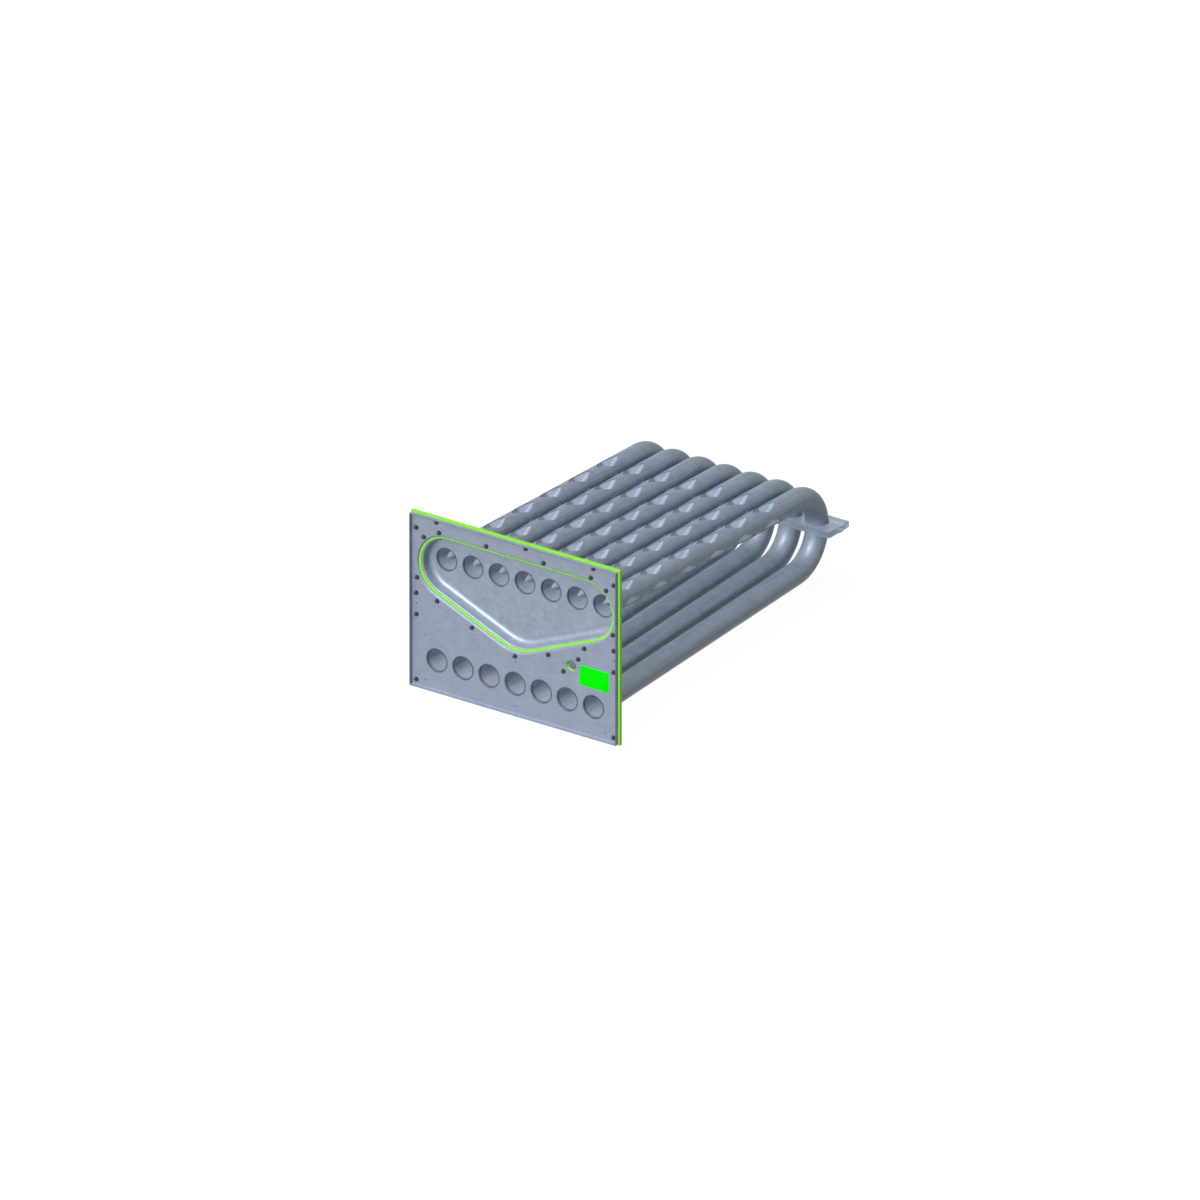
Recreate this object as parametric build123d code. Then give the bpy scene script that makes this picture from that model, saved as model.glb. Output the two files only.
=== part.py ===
from build123d import *
import math
import os

# Furnace heat exchanger: seven folded tubes between a vest panel and a drawn collector pan.
# All sizes are millimetres. The part is drawn from the centre of the vest panel:
# X to the right, Y back from the panel's front face, Z up. Placing it at the end sets the
# origin below the middle of the whole part, with Z = 0 at its lowest edge.

# Overall size: the gasket gives the width and the height, the bracket gives the depth
GASKET_WIDTH = 558.8
GASKET_HEIGHT = 422.275
OVERALL_DEPTH = 910.03

# Vest panel: a sheet-steel pan with its rim turned forward all round
SHEET = 1.27
GASKET_OVERHANG = 3.175
RIM_DEPTH = 10.67
RIM_BEND = 2.6
CORNER_SLIT = 0.9

# Gasket: one sheet behind the whole panel
GASKET_THICKNESS = 7.1
GASKET_PORT_LIP = 0.8
TUBE_HOLE_CLEARANCE = 0.5

# V-shaped opening over the collector pan, and its rolled edge
VEE_SIDE_MARGIN = 13.2
VEE_TOP_MARGIN = 39.6875
VEE_APEX = -72.4
VEE_SLOPE = 22.8
VEE_NOSE_RADIUS = 111.8
VEE_ROLL = 5.0
ROLL_CLEARANCE = 0.5
GASKET_TONGUE = 10.0
TONGUE_ROUNDING = 1.2

# Collector pan: flange behind the gasket, wall inset from the opening, flat floor
PAN_FLANGE = 10.6
PAN_INSET = 13.4
PAN_FLOOR = 38.1
PAN_SHOULDER = 3.4
PAN_FLOOR_FILLET = 11.4

# Tubes: two sloping passes joined by one bend
TUBE_COUNT = 7
TUBE_SIDE_MARGIN = 69.85
TUBE_RADIUS = 26.1
TUBE_WALL = 1.0
PASS_SLOPE = 2.0
BEND_RADIUS = 88.9
BEND_Z = -19.56
KNEE_RADIUS = 150.0
KNEE_LEAD = 9.0

# Rolled tube ends: bell mouths at the panel, narrow lips in the collector pan
MOUTH_LIP = 28.4
MOUTH_ROLL = 1.4
FLOOR_LIP = 27.6
FLOOR_ROLL = 0.8
SWAGE_CLEARANCE = 0.3

# Crimps on the upper pass: three V-shaped dents at each station
CRIMP_STATIONS = 6
CRIMP_START = 74.95
CRIMP_LEAD = 116.3
CRIMP_DIRECTIONS = (0, 120, 240)
CRIMP_DEPTH_LEFT = 1.0
CRIMP_CROSS_SLOPE = 0.95
CRIMP_LENGTH_SLOPE = 0.56
CRIMP_KEEL_RADIUS = 4.8
CRIMP_VALLEY_RADIUS = 11.7

# Rear bracket: one folded sheet, two leaves round the tube bends
BRACKET_SIDE_MARGIN = 12.7
BRACKET_DEPTH = 77.66
REAR_CLEARANCE = 15.26
BRACKET_TOP = -12.2
BRACKET_SPACING = 13.2
BRACKET_FOLD = 2.6
BRACKET_CORNER = 7.0
BRACKET_CLEARANCE = 0.5
BEAD_FROM_REAR = 28.86
BEAD_WIDTH = 21.0
BEAD_DEPTH = 2.2
BEAD_SIDE = 4.5

# Label plate, blank
LABEL_WIDTH = 77.0
LABEL_HEIGHT = 48.0
LABEL_THICKNESS = 0.5
LABEL_CORNER = 4.5
LABEL_INSET = 67.2
LABEL_Z = -66.9

# Sight port with two screws and two pilot holes round it
PORT_INSET = 129.7
PORT_Z = -50.3
PORT_RADIUS = 13.8
PORT_SCREW_REACH = 19.6
PORT_PILOT_REACH = 20.7

# Hex washer-head screws and pilot holes
WASHER_RADIUS = 5.6
WASHER_THICKNESS = 1.1
HEX_ACROSS_FLATS = 7.9
HEX_HEIGHT = 4.0
HEX_CHAMFER = 0.6
SHANK_RADIUS = 2.1
SHANK_LENGTH = 15.0
PILOT_RADIUS = 1.7
SIDE_SCREW_INSET = 15.2
SIDE_SCREW_FROM_TOP = 38.4
SIDE_SCREW_MIDDLES = (14.8, -36.8)
SIDE_SCREW_FROM_BOTTOM = 16.6
TOP_SCREW_INSET = 12.2
TOP_SCREW_FROM_SIDE = 69.4
TOP_SCREW_MIDDLE = 29.0
VEE_SCREW_MARGIN = 5.6
VEE_TOP_SCREW_X = 76.7
VEE_END_ANGLES = (79.0, 47.8, -27.8)
VEE_LEFT_SCREW_INSET = 57.7
VEE_RIGHT_SCREW_INSET = 80.7
VEE_NOSE_SCREWS = (-115.0, 0.0, 89.0)
PILOT_FROM_SIDE = 38.7
UPPER_PILOT_Z = -82.3
LOWER_PILOT_FROM_BOTTOM = 21.1
SIDE_PILOT_Z = -9.8

# Worked-out sizes
PANEL_WIDTH = GASKET_WIDTH - 2 * GASKET_OVERHANG
PANEL_HEIGHT = GASKET_HEIGHT - 2 * GASKET_OVERHANG
HALF_WIDTH = GASKET_WIDTH / 2
HALF_HEIGHT = GASKET_HEIGHT / 2
FLANGE_FRONT = SHEET + GASKET_THICKNESS
BRACKET_WIDTH = GASKET_WIDTH - 2 * BRACKET_SIDE_MARGIN
BRACKET_REAR = OVERALL_DEPTH - RIM_DEPTH
BRACKET_FRONT = BRACKET_REAR - BRACKET_DEPTH
BEAD_CENTRE = BRACKET_REAR - BEAD_FROM_REAR
VEE_HALF_WIDTH = HALF_WIDTH - VEE_SIDE_MARGIN
VEE_TOP = HALF_HEIGHT - VEE_TOP_MARGIN
LABEL_X = HALF_WIDTH - LABEL_INSET
PORT_X = HALF_WIDTH - PORT_INSET
SIDE_SCREW_X = HALF_WIDTH - SIDE_SCREW_INSET
TUBE_BORE = TUBE_RADIUS - TUBE_WALL
TUBE_PITCH = (GASKET_WIDTH - 2 * TUBE_SIDE_MARGIN) / (TUBE_COUNT - 1)
TUBE_PLACES = [(i - (TUBE_COUNT - 1) / 2) * TUBE_PITCH for i in range(TUBE_COUNT)]
BEND_Y = BRACKET_REAR - REAR_CLEARANCE - TUBE_RADIUS - BEND_RADIUS
CRIMP_FIRST = PAN_FLOOR + CRIMP_START
CRIMP_LAST = BEND_Y - CRIMP_LEAD
CRIMP_PITCH = (CRIMP_LAST - CRIMP_FIRST) / (CRIMP_STATIONS - 1)
SLOPE = math.radians(PASS_SLOPE)
VEE_ANGLE = math.radians(VEE_SLOPE)
PLACING = Location((0, (RIM_DEPTH - BRACKET_REAR) / 2, HALF_HEIGHT))


def pass_height(y, side):
    """Height of a pass's centreline at depth y; side is 1 for the upper pass, -1 for the lower."""
    tangent_y = BEND_Y + BEND_RADIUS * math.sin(SLOPE)
    tangent_z = BEND_Z + side * BEND_RADIUS * math.cos(SLOPE)
    return tangent_z + side * (tangent_y - y) * math.tan(SLOPE)


UPPER_Z = pass_height(PAN_FLOOR + KNEE_LEAD, 1)
LOWER_Z = pass_height(KNEE_LEAD, -1)


def slab(outline, front, back):
    """Solid of an outline drawn in X and Z, between two depths."""
    plane = Plane(origin=(0, back, 0), x_dir=(1, 0, 0), z_dir=(0, -1, 0))
    return extrude(plane * outline, amount=back - front)


def drilled(places, radius, front, back):
    """Round bars at the given X and Z places, to cut holes with."""
    return slab(Sketch() + [Pos(x, z) * Circle(radius) for x, z in places], front, back)


def vee_end(inset):
    """Radius and centre of the round right end of the V outline, tangent to its three sides."""
    half_width = VEE_HALF_WIDTH - inset
    top = VEE_TOP - inset
    apex = VEE_APEX + inset / math.cos(VEE_ANGLE)
    reach = math.cos(VEE_ANGLE) * (top - apex) - math.sin(VEE_ANGLE) * half_width
    radius = reach / (1 - math.sin(VEE_ANGLE) + math.cos(VEE_ANGLE))
    return radius, half_width - radius, top - radius


def vee_outline(inset):
    """The V-shaped opening's outline, moved inward by the inset."""
    radius, end_x, end_z = vee_end(inset)
    apex = VEE_APEX + inset / math.cos(VEE_ANGLE)
    nose = VEE_NOSE_RADIUS - inset
    nose_z = apex + nose / math.cos(VEE_ANGLE)
    middle = (math.pi / 2 + VEE_ANGLE - math.pi / 2) / 2
    top_right = Vector(end_x, end_z + radius)
    end_middle = Vector(end_x + radius * math.cos(middle), end_z + radius * math.sin(middle))
    side_top = Vector(end_x + radius * math.sin(VEE_ANGLE), end_z - radius * math.cos(VEE_ANGLE))
    side_foot = Vector(nose * math.sin(VEE_ANGLE), nose_z - nose * math.cos(VEE_ANGLE))
    tip = Vector(0, nose_z - nose)

    def mirrored(point):
        return Vector(-point.X, point.Y)

    edges = [
        Line(mirrored(top_right), top_right),
        ThreePointArc(top_right, end_middle, side_top),
        Line(side_top, side_foot),
        ThreePointArc(side_foot, tip, mirrored(side_foot)),
        Line(mirrored(side_foot), mirrored(side_top)),
        ThreePointArc(mirrored(side_top), mirrored(end_middle), mirrored(top_right)),
    ]
    return make_face(edges)


def edges_at(solid, depth, outline):
    """Edges of the solid that lie at one depth along the border of an outline."""
    border = slab(outline, depth - 0.5, depth + 0.5).faces().filter_by(
        lambda face: abs(face.normal_at().Y) < 0.5)
    near = solid.edges().filter_by_position(Axis.Y, depth - 0.01, depth + 0.01)
    return near.filter_by(
        lambda edge: min(face.distance_to(edge @ 0.5) for face in border) < 0.01)


def tube_mouths():
    return [(x, LOWER_Z) for x in TUBE_PLACES]


def tube_outlets():
    return [(x, UPPER_Z) for x in TUBE_PLACES]


def side_screws():
    ends = (HALF_HEIGHT - SIDE_SCREW_FROM_TOP, SIDE_SCREW_FROM_BOTTOM - HALF_HEIGHT)
    heights = ends + SIDE_SCREW_MIDDLES
    return [(side * SIDE_SCREW_X, z) for side in (-1, 1) for z in heights]


def top_screws():
    end = HALF_WIDTH - TOP_SCREW_FROM_SIDE
    return [(x, HALF_HEIGHT - TOP_SCREW_INSET) for x in (-end, TOP_SCREW_MIDDLE, end)]


def collector_screws():
    """Screws just outside the V-shaped opening, all at one margin from it."""
    radius, end_x, end_z = vee_end(-VEE_SCREW_MARGIN)
    places = [(side * VEE_TOP_SCREW_X, VEE_TOP + VEE_SCREW_MARGIN) for side in (-1, 1)]
    for angle in VEE_END_ANGLES:
        turn = math.radians(angle)
        for side in (-1, 1):
            places.append((side * (end_x + radius * math.cos(turn)),
                           end_z + radius * math.sin(turn)))
    apex = VEE_APEX - VEE_SCREW_MARGIN / math.cos(VEE_ANGLE)
    nose = VEE_NOSE_RADIUS + VEE_SCREW_MARGIN
    ends = (VEE_LEFT_SCREW_INSET - VEE_HALF_WIDTH, VEE_HALF_WIDTH - VEE_RIGHT_SCREW_INSET)
    for x in ends + VEE_NOSE_SCREWS:
        on_side = apex + abs(x) * math.tan(VEE_ANGLE)
        on_nose = apex + nose / math.cos(VEE_ANGLE) - math.sqrt(max(nose ** 2 - x ** 2, 0))
        places.append((x, on_side if abs(x) > nose * math.sin(VEE_ANGLE) else on_nose))
    return places


def port_screws():
    reach = PORT_SCREW_REACH
    return [(PORT_X + reach, PORT_Z + reach), (PORT_X - reach, PORT_Z - reach)]


def pilot_holes():
    end = HALF_WIDTH - PILOT_FROM_SIDE
    rows = (UPPER_PILOT_Z, LOWER_PILOT_FROM_BOTTOM - HALF_HEIGHT)
    grid = [(x, z) for x in (-end, 0, end) for z in rows]
    sides = [(side * SIDE_SCREW_X, SIDE_PILOT_Z) for side in (-1, 1)]
    port = [(PORT_X + side * PORT_PILOT_REACH, PORT_Z) for side in (-1, 1)]
    return grid + sides + port


def all_screws():
    return side_screws() + top_screws() + collector_screws() + port_screws()


def panel_rim():
    """The turned-forward rim and the sheet's outer border, with open slits at the corners."""
    shell = slab(Rectangle(PANEL_WIDTH, PANEL_HEIGHT), -RIM_DEPTH, SHEET)
    shell = fillet(shell.edges().filter_by_position(Axis.Y, SHEET - 0.01, SHEET + 0.01), RIM_BEND)
    hollow = slab(Rectangle(PANEL_WIDTH - 2 * SHEET, PANEL_HEIGHT - 2 * SHEET), -RIM_DEPTH - 1, 0)
    hollow = fillet(hollow.edges().filter_by_position(Axis.Y, -0.01, 0.01), RIM_BEND - SHEET)
    shell -= hollow
    slit_z = PANEL_HEIGHT / 2 - SHEET - CORNER_SLIT / 2
    reach = SHEET + RIM_BEND
    for side_x in (-1, 1):
        for side_z in (-1, 1):
            place = Pos(side_x * (PANEL_WIDTH - reach) / 2, side_z * slit_z)
            shell -= slab(place * Rectangle(reach + 1, CORNER_SLIT), -RIM_DEPTH - 1, -RIM_BEND)
    return shell


def vest_panel():
    """Folded panel with the V opening's rolled edge, the tube mouths, the port and the holes."""
    panel = panel_rim()
    panel -= slab(vee_outline(VEE_ROLL / 2), -1, SHEET + 1)
    ring = slab(vee_outline(-1.0) - vee_outline(VEE_ROLL), 0, VEE_ROLL + 0.2)
    ring -= slab(vee_outline(-2.0) - vee_outline(VEE_ROLL - SHEET), SHEET, VEE_ROLL + 1)
    panel += ring
    panel = fillet(edges_at(panel, 0, vee_outline(VEE_ROLL)), VEE_ROLL - 0.02)
    panel = fillet(edges_at(panel, SHEET, vee_outline(VEE_ROLL - SHEET)), VEE_ROLL - SHEET - 0.1)
    panel -= drilled(tube_mouths(), TUBE_RADIUS + SWAGE_CLEARANCE, -1, SHEET + 1)
    panel = fillet(mouth_edges(panel, 0, TUBE_RADIUS + SWAGE_CLEARANCE), MOUTH_ROLL - SWAGE_CLEARANCE)
    panel -= drilled([(PORT_X, PORT_Z)], PORT_RADIUS, -1, SHEET + 1)
    panel -= drilled(all_screws(), SHANK_RADIUS, -1, SHEET + 1)
    panel -= drilled(pilot_holes(), PILOT_RADIUS, -1, SHEET + 1)
    return panel


def mouth_edges(solid, depth, radius):
    """Circular edges of one radius at one depth."""
    near = solid.edges().filter_by(GeomType.CIRCLE)
    near = near.filter_by_position(Axis.Y, depth - 0.01, depth + 0.01)
    return near.filter_by(lambda edge: abs(edge.radius - radius) < 0.01)


def vest_gasket():
    """One gasket sheet behind the panel, with a tongue under the V opening's rolled edge."""
    gasket = slab(Rectangle(GASKET_WIDTH, GASKET_HEIGHT), SHEET, FLANGE_FRONT)
    gasket -= slab(vee_outline(GASKET_TONGUE), 0, FLANGE_FRONT + 1)
    tongue_front = VEE_ROLL + 0.2 + ROLL_CLEARANCE
    gasket -= slab(vee_outline(-ROLL_CLEARANCE), 0, tongue_front)
    for depth in (tongue_front, FLANGE_FRONT):
        gasket = fillet(edges_at(gasket, depth, vee_outline(GASKET_TONGUE)), TONGUE_ROUNDING)
    gasket -= drilled(tube_mouths(), TUBE_RADIUS + TUBE_HOLE_CLEARANCE, 0, FLANGE_FRONT + 1)
    gasket -= drilled([(PORT_X, PORT_Z)], PORT_RADIUS - GASKET_PORT_LIP, 0, FLANGE_FRONT + 1)
    gasket -= drilled(all_screws(), SHANK_RADIUS, 0, FLANGE_FRONT + 1)
    gasket -= drilled(pilot_holes(), PILOT_RADIUS, 0, FLANGE_FRONT + 1)
    return gasket


def collector_pan():
    """Drawn pan: flange, rounded shoulder, wall, large floor fillet and flat floor."""
    pan = slab(vee_outline(-PAN_FLANGE), FLANGE_FRONT, FLANGE_FRONT + SHEET)
    tub = slab(vee_outline(PAN_INSET - SHEET), FLANGE_FRONT, PAN_FLOOR + SHEET)
    tub = fillet(edges_at(tub, PAN_FLOOR + SHEET, vee_outline(PAN_INSET - SHEET)),
                 PAN_FLOOR_FILLET + SHEET)
    hollow = slab(vee_outline(PAN_INSET), FLANGE_FRONT - 1, PAN_FLOOR)
    hollow = fillet(edges_at(hollow, PAN_FLOOR, vee_outline(PAN_INSET)), PAN_FLOOR_FILLET)
    pan = pan + tub - hollow
    pan = fillet(edges_at(pan, FLANGE_FRONT, vee_outline(PAN_INSET)), PAN_SHOULDER)
    pan = fillet(edges_at(pan, FLANGE_FRONT + SHEET, vee_outline(PAN_INSET - SHEET)),
                 PAN_SHOULDER - SHEET)
    pan -= drilled(tube_outlets(), TUBE_RADIUS + SWAGE_CLEARANCE, PAN_FLOOR - 1, PAN_FLOOR + SHEET + 1)
    pan = fillet(mouth_edges(pan, PAN_FLOOR, TUBE_RADIUS + SWAGE_CLEARANCE), FLOOR_ROLL - SWAGE_CLEARANCE)
    pan -= drilled(collector_screws(), SHANK_RADIUS, 0, FLANGE_FRONT + SHEET + 1)
    return pan


def tube_path():
    """Centreline: short level lead, 2 degree knee, sloping pass, bend, and the same way back."""
    knee_reach = KNEE_RADIUS * math.tan(SLOPE / 2)
    upper_knee = PAN_FLOOR + KNEE_LEAD
    start = Line((PAN_FLOOR + FLOOR_ROLL, UPPER_Z), (upper_knee - knee_reach, UPPER_Z))
    knee = JernArc(start @ 1, start % 1, KNEE_RADIUS, -PASS_SLOPE)
    top = (BEND_Y + BEND_RADIUS * math.sin(SLOPE), BEND_Z + BEND_RADIUS * math.cos(SLOPE))
    upper = Line(knee @ 1, top)
    bend = JernArc(upper @ 1, upper % 1, BEND_RADIUS, -(180 - 2 * PASS_SLOPE))
    along = (KNEE_LEAD + knee_reach * math.cos(SLOPE), LOWER_Z + knee_reach * math.sin(SLOPE))
    lower = Line(bend @ 1, along)
    last_knee = JernArc(lower @ 1, lower % 1, KNEE_RADIUS, -PASS_SLOPE)
    end = Line(last_knee @ 1, (MOUTH_ROLL, LOWER_Z))
    return Plane.YZ * Wire([start, knee, upper, bend, lower, last_knee, end])


def swept(path, radius):
    section = Plane(origin=path @ 0, z_dir=path % 0) * Circle(radius)
    return sweep(section, path=path)


def ridge_edges(die, across):
    """Slanting edges of a dent's die in the plane across the tube, or in the one along it."""
    return die.edges().filter_by(
        lambda edge: abs((edge @ 0.5).Y if across else (edge @ 0.5).X) < 0.01
        and abs((edge % 0.5).Z) > 0.2)


def crimp_die(offset):
    """Press tool of one dent: a four-sided pyramid on its tip, its edges rounded.

    The offset moves its faces toward the tube's axis, by the wall for the inside of the dent.
    """
    spread = math.sqrt(1 + CRIMP_CROSS_SLOPE ** 2 + CRIMP_LENGTH_SLOPE ** 2)
    foot = CRIMP_DEPTH_LEFT - offset * spread
    half_width = TUBE_RADIUS / CRIMP_CROSS_SLOPE
    half_length = TUBE_RADIUS / CRIMP_LENGTH_SLOPE
    diamond = make_face(Polyline((half_width, 0), (0, half_length), (-half_width, 0),
                                 (0, -half_length), close=True))
    die = loft([Plane.XY.offset(foot + TUBE_RADIUS) * diamond, Vertex(0, 0, foot)])
    die = fillet(ridge_edges(die, False), CRIMP_KEEL_RADIUS + offset)
    die = fillet(ridge_edges(die, True), CRIMP_VALLEY_RADIUS + offset)
    lid = max(die.faces(), key=lambda face: face.center().Z)
    return die + extrude(lid, amount=offset * spread + TUBE_WALL)


def crimp_dies(offset):
    """All the dents' dies along the upper pass, three round the tube at each station."""
    die = crimp_die(offset)
    dies = []
    for i in range(CRIMP_STATIONS):
        y = CRIMP_FIRST + i * CRIMP_PITCH
        station = Plane(origin=(0, y, pass_height(y, 1)), x_dir=(1, 0, 0),
                        z_dir=(0, math.sin(SLOPE), math.cos(SLOPE)))
        dies += [station.location * Rot(0, angle, 0) * die for angle in CRIMP_DIRECTIONS]
    return dies


def rolled_end(face_depth, height, lip, roll):
    """Tube end rolled outward over the front of a sheet whose front face is at face_depth."""
    outer = roll + TUBE_WALL
    arc_radius = TUBE_RADIUS + roll
    corner = math.sqrt(0.5)
    profile = [
        Line((TUBE_BORE, roll), (TUBE_RADIUS, roll)),
        ThreePointArc((TUBE_RADIUS, roll),
                      (arc_radius - roll * corner, roll - roll * corner), (arc_radius, 0)),
        Line((arc_radius, 0), (lip, 0)),
        Line((lip, 0), (lip, -TUBE_WALL)),
        Line((lip, -TUBE_WALL), (arc_radius, -TUBE_WALL)),
        ThreePointArc((arc_radius, -TUBE_WALL),
                      (arc_radius - outer * corner, roll - outer * corner), (TUBE_BORE, roll)),
    ]
    ring = revolve(make_face(profile), Axis.Y)
    return Pos(0, face_depth, height) * ring


def heat_tube():
    """One tube: upper pass with crimps, bend, smooth lower pass and two rolled ends."""
    path = tube_path()
    tube = swept(path, TUBE_RADIUS) - crimp_dies(0)
    bore = swept(path, TUBE_BORE) - crimp_dies(TUBE_WALL)
    tube -= bore
    tube += rolled_end(0, LOWER_Z, MOUTH_LIP, MOUTH_ROLL)
    tube += rolled_end(PAN_FLOOR, UPPER_Z, FLOOR_LIP, FLOOR_ROLL)
    return tube


def leaf_outline(front, rear, top):
    """Side view of one leaf of the bracket: flat sheet with a shallow bead pressed down."""
    bead_start = BEAD_CENTRE - BEAD_WIDTH / 2
    bead_end = BEAD_CENTRE + BEAD_WIDTH / 2
    line = [
        (front, top),
        (bead_start, top),
        (bead_start + BEAD_SIDE, top - BEAD_DEPTH),
        (bead_end - BEAD_SIDE, top - BEAD_DEPTH),
        (bead_end, top),
        (rear, top),
    ]
    below = [(y, z - SHEET) for y, z in reversed(line)]
    return make_face(Polyline(*line, *below, close=True))


def rear_bracket():
    """Folded bracket: two leaves with holes round the bends, joined by a web at the rear."""
    height = BRACKET_SPACING + SHEET
    fold = BRACKET_REAR - BRACKET_FOLD
    web = Pos(BRACKET_REAR - height / 2, BRACKET_TOP - height / 2) * RectangleRounded(
        height, height, BRACKET_FOLD)
    web -= Pos(BRACKET_REAR - SHEET - height / 2, BRACKET_TOP - height / 2) * RectangleRounded(
        height, height - 2 * SHEET, BRACKET_FOLD - SHEET)
    web -= Pos(fold - height, BRACKET_TOP - height / 2) * Rectangle(2 * height, 2 * height)
    side_view = web
    for top in (BRACKET_TOP, BRACKET_TOP - BRACKET_SPACING):
        side_view += leaf_outline(BRACKET_FRONT, fold, top)
    bracket = extrude(Plane.YZ * side_view, amount=BRACKET_WIDTH / 2, both=True)
    plan = Pos(0, (BRACKET_FRONT + BRACKET_REAR) / 2 + BRACKET_CORNER) * RectangleRounded(
        BRACKET_WIDTH, BRACKET_REAR - BRACKET_FRONT + 2 * BRACKET_CORNER, BRACKET_CORNER)
    deep = Plane.XY.offset(BRACKET_TOP - 3 * height)
    bracket &= extrude(deep * plan, amount=4 * height)
    tube_y = BEND_Y + BEND_RADIUS
    holes = Sketch() + [Pos(x, tube_y) * Circle(TUBE_RADIUS + BRACKET_CLEARANCE)
                        for x in TUBE_PLACES]
    bracket -= extrude(deep * holes, amount=4 * height)
    return bracket


def label_plate():
    """Blank plate with rounded corners on the panel, open over the pilot hole behind it."""
    blank = Pos(LABEL_X, LABEL_Z) * RectangleRounded(LABEL_WIDTH, LABEL_HEIGHT, LABEL_CORNER)
    plate = slab(blank, -LABEL_THICKNESS, 0)
    return plate - drilled(pilot_holes(), PILOT_RADIUS, -2, 1)


def screw():
    """Hex washer-head screw along +Y, its washer's back at Y = 0."""
    back = Plane(origin=(0, 0, 0), x_dir=(1, 0, 0), z_dir=(0, -1, 0))
    washer = extrude(back * Circle(WASHER_RADIUS), amount=WASHER_THICKNESS)
    washer = fillet(washer.edges().group_by(Axis.Y)[0], WASHER_THICKNESS / 2)
    hexagon = back.offset(WASHER_THICKNESS) * RegularPolygon(HEX_ACROSS_FLATS / 2, 6, major_radius=False)
    head = extrude(hexagon, amount=HEX_HEIGHT)
    head = chamfer(head.edges().group_by(Axis.Y)[0], HEX_CHAMFER)
    shank = extrude(back * Circle(SHANK_RADIUS), amount=-SHANK_LENGTH)
    shank = chamfer(shank.edges().group_by(Axis.Y)[-1], SHANK_RADIUS / 2)
    return washer + head + shank


def screws(places):
    pattern = screw()
    return Compound([Pos(x, 0, z) * pattern for x, z in places])


def write(name, shape):
    export_step(PLACING * shape, os.path.join("parts", name + ".step"))


os.makedirs("parts", exist_ok=True)
write("vest_panel", vest_panel())
write("vest_gasket", vest_gasket())
write("collector_pan", collector_pan())
write("rear_bracket", rear_bracket())
write("label_plate", label_plate())
write("screws_sides", screws(side_screws()))
write("screws_top", screws(top_screws()))
write("screws_collector", screws(collector_screws()))
write("screws_port", screws(port_screws()))
tube = heat_tube()
for number, place in enumerate(TUBE_PLACES, start=1):
    write("heat_tube_" + str(number), Pos(place, 0, 0) * tube)
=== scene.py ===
"""Furnace heat exchanger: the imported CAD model, dressed and lit for one studio picture.

The object is seven folded tubes of aluminised steel between a vest panel and a drawn
collector pan, with a lime gasket sheet behind the panel and a folded bracket round the
bends. Blender works in metres in the CAD frame. Sizes and the scales of patterns are
given in millimetres of the real object, and PANEL_FRONT_Y and PANEL_CENTRE_Z place the
panel's centre, from which depths and heights are counted.
"""

import logging
import math
from dataclasses import dataclass
from enum import Enum

import bpy
import numpy as np
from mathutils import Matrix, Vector


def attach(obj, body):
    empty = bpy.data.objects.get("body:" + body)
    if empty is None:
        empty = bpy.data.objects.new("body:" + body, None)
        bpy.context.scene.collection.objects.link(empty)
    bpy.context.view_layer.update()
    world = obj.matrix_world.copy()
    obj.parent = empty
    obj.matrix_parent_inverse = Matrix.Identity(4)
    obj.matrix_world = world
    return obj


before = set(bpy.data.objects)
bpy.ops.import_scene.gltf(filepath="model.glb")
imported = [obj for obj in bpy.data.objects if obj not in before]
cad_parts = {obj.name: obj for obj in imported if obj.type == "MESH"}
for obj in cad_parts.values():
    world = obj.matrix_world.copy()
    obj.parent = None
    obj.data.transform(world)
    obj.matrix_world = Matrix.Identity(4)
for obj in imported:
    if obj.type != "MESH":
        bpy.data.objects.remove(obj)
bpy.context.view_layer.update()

LOG = logging.getLogger("heat_exchanger")
MM = 0.001

# Where the CAD places the panel's centre: its front face in Y and its middle height in Z
PANEL_FRONT_Y = -444.345
PANEL_CENTRE_Z = 211.1375

Colour = tuple[float, float, float, float]
Input = str | int
Socket = bpy.types.NodeSocket
Tree = bpy.types.NodeTree
Given = float | tuple | list | bpy.types.NodeSocket


class Slot(Enum):
    """The record's material slot name for the screws; nothing in the script uses it."""

    SCREW = "screw_zinc"


class Grain(Enum):
    """The direction in which a sheet was rolled: its coordinate is the slow one of the pattern."""

    SIDEWAYS = (0.05, 1.0, 1.0)
    NONE = (1.0, 1.0, 1.0)


def linear(hex_colour: str) -> Colour:
    """Turn an sRGB hex colour into linear light.

    Args:
        hex_colour: six hex digits after a #

    Returns:
        Linear red, green and blue, with alpha 1
    """
    srgb = np.array([int(hex_colour[i : i + 2], 16) / 255 for i in (1, 3, 5)])
    light = np.where(srgb <= 0.04045, srgb / 12.92, ((srgb + 0.055) / 1.055) ** 2.4)
    return (*light.tolist(), 1.0)


def per_metre(size_mm: float) -> float:
    """Scale of a noise whose features are about this many millimetres across."""
    return 1000.0 / size_mm


def add(
    tree: Tree, kind: str, inputs: dict[Input, Given] | None = None, **settings: object
) -> bpy.types.Node:
    """Add one node with its settings and links.

    Args:
        tree: the node tree that gets the node
        kind: the node's Blender type
        inputs: for each input, by name or number, a value or the socket that feeds it
        settings: the node's own attributes; ramp is a list of places and colours

    Returns:
        The new node
    """
    made = tree.nodes.new(kind)
    for name, value in settings.items():
        if name == "ramp":
            ends = made.color_ramp.elements
            for i, (place, colour) in enumerate(value):
                stop = ends[i] if i < len(ends) else ends.new(place)
                stop.position, stop.color = place, colour
        else:
            setattr(made, name, value)
    for name, value in (inputs or {}).items():
        if isinstance(value, bpy.types.NodeSocket):
            tree.links.new(value, made.inputs[name])
        else:
            made.inputs[name].default_value = value
    return made


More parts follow.
